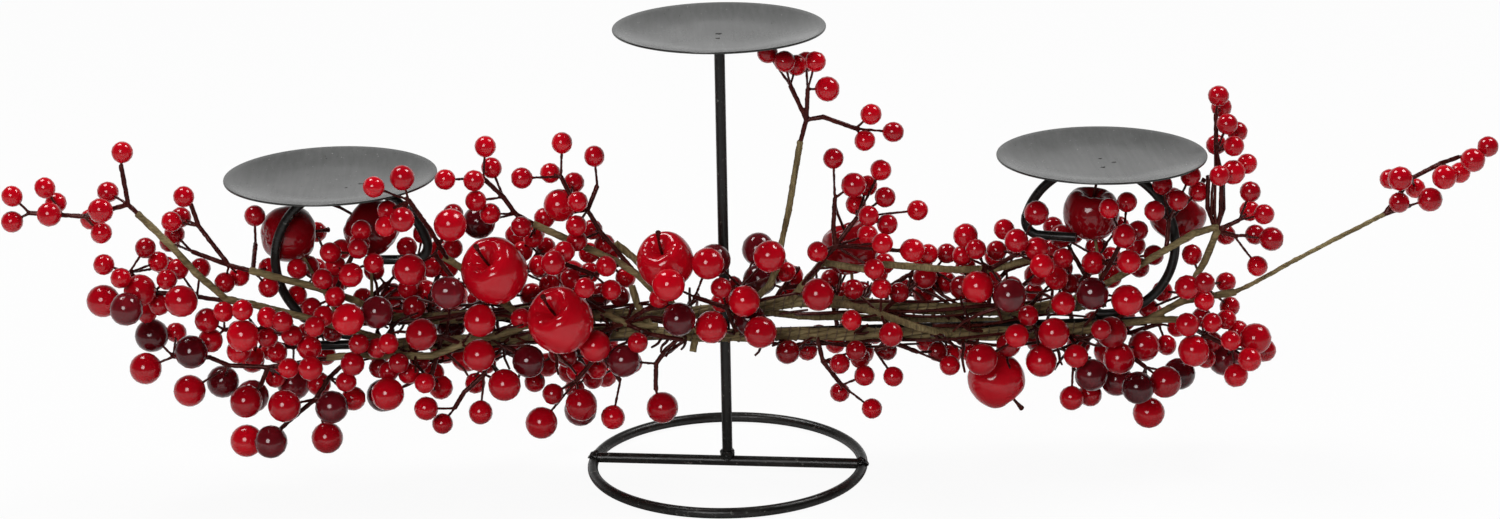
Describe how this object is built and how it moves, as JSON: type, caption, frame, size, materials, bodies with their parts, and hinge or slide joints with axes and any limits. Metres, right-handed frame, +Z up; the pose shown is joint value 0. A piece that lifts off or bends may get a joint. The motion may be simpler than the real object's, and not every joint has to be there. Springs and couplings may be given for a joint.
{
  "type": "christmas candle centerpiece",
  "caption": "Long table centerpiece: a welded black wire stand on a ring foot carries shallow candle pans, with a garland of glossy red berries and small apples wired along its arm.",
  "frame": {"origin": "on the post's axis at table level, under the base ring", "axes": "+X along the arm to the side of the long straight spray, +Y away from the viewer, +Z up the post"},
  "size_m": [0.7095, 0.136, 0.2205],
  "materials": {
    "black_steel": "semi-gloss black coating",
    "pan_steel": "satin dark grey coating",
    "red_lacquer": "high-gloss lacquer",
    "dark_lacquer": "high-gloss lacquer",
    "apple_lacquer": "gloss lacquer",
    "dark_twig": "semi-gloss",
    "paper_wrap": "matte wrapped paper tape",
    "thread": "matte"
  },
  "bodies": {
    "frame": {"base_ring": "black_steel", "base_crossbar": "black_steel", "centre_post": "black_steel", "arm_rod": "black_steel", "left_loop": "black_steel", "right_loop": "black_steel", "centre_pan": "pan_steel", "left_pan": "pan_steel", "right_pan": "pan_steel", "weld_beads": "black_steel", "front_bundle": "paper_wrap", "rear_bundle": "paper_wrap", "binding_thread": "thread", "left_stems": "paper_wrap", "centre_stems": "paper_wrap", "right_stems": "paper_wrap", "outer_branchlets": "dark_twig", "left_branchlets": "dark_twig", "left_small_berries": "red_lacquer", "left_middle_berries": "red_lacquer", "left_large_berries": "red_lacquer", "left_dark_berries": "dark_lacquer", "centre_branchlets": "dark_twig", "centre_small_berries": "red_lacquer", "centre_middle_berries": "red_lacquer", "centre_large_berries": "red_lacquer", "centre_dark_berries": "dark_lacquer", "right_branchlets": "dark_twig", "right_small_berries": "red_lacquer", "right_middle_berries": "red_lacquer", "right_large_berries": "red_lacquer", "right_dark_berries": "dark_lacquer", "left_apples": "apple_lacquer", "centre_apples": "apple_lacquer", "right_apples": "apple_lacquer", "apple_stalks": "dark_twig", "apple_picks": "paper_wrap"},
    "left_spray": {"left_spray_stem": "paper_wrap", "left_spray_branchlet": "dark_twig", "left_spray_berries": "red_lacquer"},
    "tall_spray": {"tall_spray_stem": "paper_wrap", "tall_spray_branchlet": "dark_twig", "tall_spray_berries": "red_lacquer"},
    "right_spray": {"right_spray_stem": "paper_wrap", "right_spray_branchlet": "dark_twig", "right_spray_berries": "red_lacquer"}
  },
  "joints": [
    {"name": "left_spray_bend", "type": "hinge", "parent": "frame", "child": "left_spray", "pos_m": [-0.2347, -0.013, 0.09921], "axis": [0, 0, 1], "range_deg": [-5, 25]},
    {"name": "tall_spray_bend", "type": "hinge", "parent": "frame", "child": "tall_spray", "pos_m": [0.02573, -0.004, 0.10427], "axis": [1, 0, 0], "range_deg": [-12, 12]},
    {"name": "right_spray_bend", "type": "hinge", "parent": "frame", "child": "right_spray", "pos_m": [0.24475, -0.006, 0.0825], "axis": [0, 0, 1], "range_deg": [-20, 20]}
  ]
}
